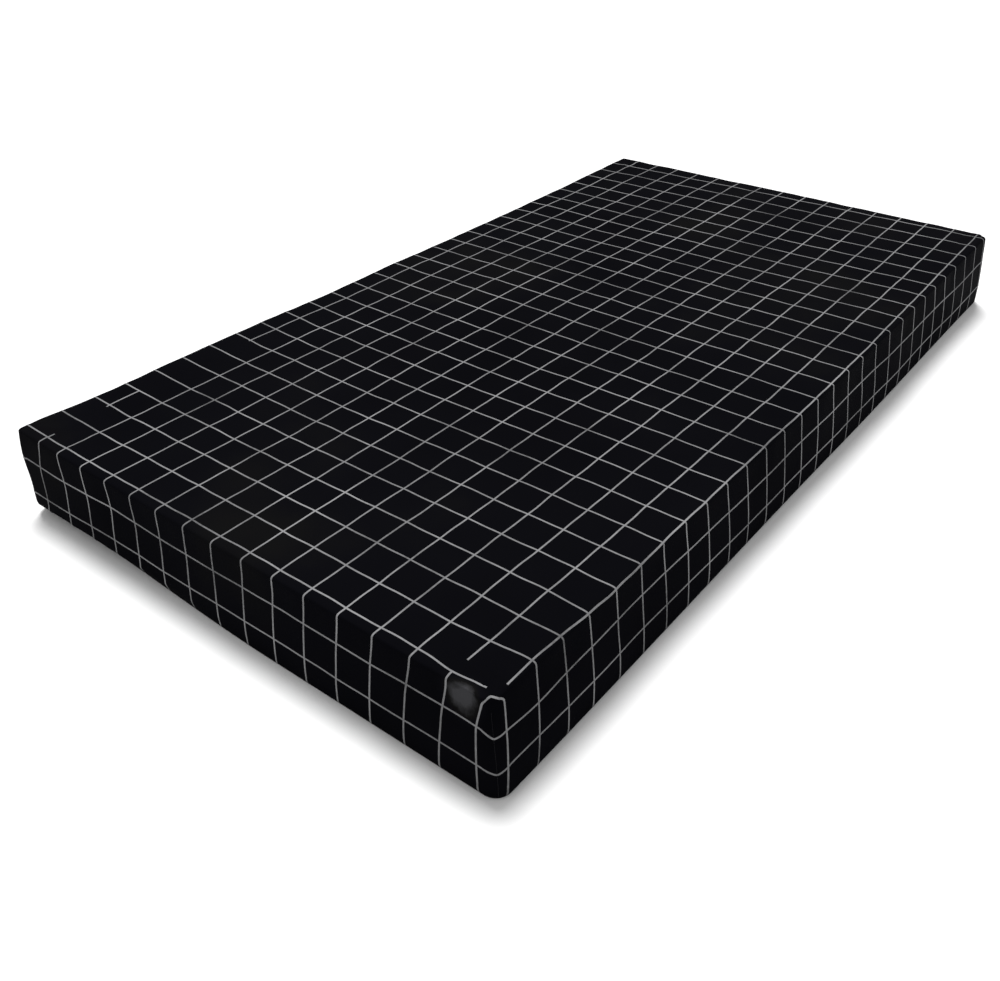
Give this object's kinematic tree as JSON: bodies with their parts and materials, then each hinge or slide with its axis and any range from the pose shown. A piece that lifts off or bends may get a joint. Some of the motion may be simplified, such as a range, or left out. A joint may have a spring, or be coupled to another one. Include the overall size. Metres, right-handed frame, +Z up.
{
  "type": "futon mattress",
  "caption": "Rectangular futon mattress with a filled foam core, square rounded edges and a dark windowpane-check zipped cover, for a low base or the floor.",
  "frame": {"origin": "middle of the underside, on the surface that the mattress lies on", "axes": "+X along the length, +Y across the width towards the side that has the zip, +Z up to the sleeping surface"},
  "size_m": [1.9, 1.0552, 0.16],
  "materials": {
    "check_cloth": "black plain-woven cloth with a thin pale grey windowpane check, faint sheen",
    "base_cloth": "plain black woven base cloth, matt",
    "sewing_thread": "black polyester thread",
    "zip_tape": "black herringbone tape",
    "zip_coil": "black nylon coil",
    "zip_stop": "crimped steel",
    "zip_metal": "black lacquered zinc",
    "label_cloth": "blank white satin ribbon",
    "casing_cloth": "undyed cotton stockinette",
    "fibre": "white bonded polyester fibre",
    "comfort_foam": "soft open-cell foam, cream",
    "support_foam": "firm open-cell foam, blue grey"
  },
  "bodies": {
    "mattress": {"cover_cap": "check_cloth", "cover_bottom_panel": "base_cloth", "corner_seam_threads": "sewing_thread", "bottom_seam_thread": "sewing_thread", "zip_tape_upper": "zip_tape", "zip_tape_lower": "zip_tape", "zip_coil_upper": "zip_coil", "zip_coil_lower": "zip_coil", "tape_stitching_upper": "sewing_thread", "tape_stitching_lower": "sewing_thread", "zip_top_stops": "zip_stop", "zip_bottom_stop": "zip_stop", "zip_bar_tacks": "sewing_thread", "care_label": "label_cloth", "casing_bottom": "casing_cloth", "casing_cap": "casing_cloth", "bottom_fibre_pad": "fibre", "support_foam_core": "support_foam", "comfort_foam_layer": "comfort_foam", "edge_fibre_wrap": "fibre", "top_fibre_pad": "fibre"},
    "slider": {"zip_slider": "zip_metal", "slider_bridge": "zip_metal"},
    "pull": {"pull_tab": "zip_metal"}
  },
  "joints": [
    {"name": "zip_travel", "type": "slide", "parent": "mattress", "child": "slider", "axis": [-1, 0, 0], "range_m": [0, 1.728]},
    {"name": "pull_flip", "type": "hinge", "parent": "slider", "child": "pull", "pos_m": [0.864, 0.5278, 0.03], "axis": [0, 0, -1], "range_deg": [0, 180]}
  ]
}
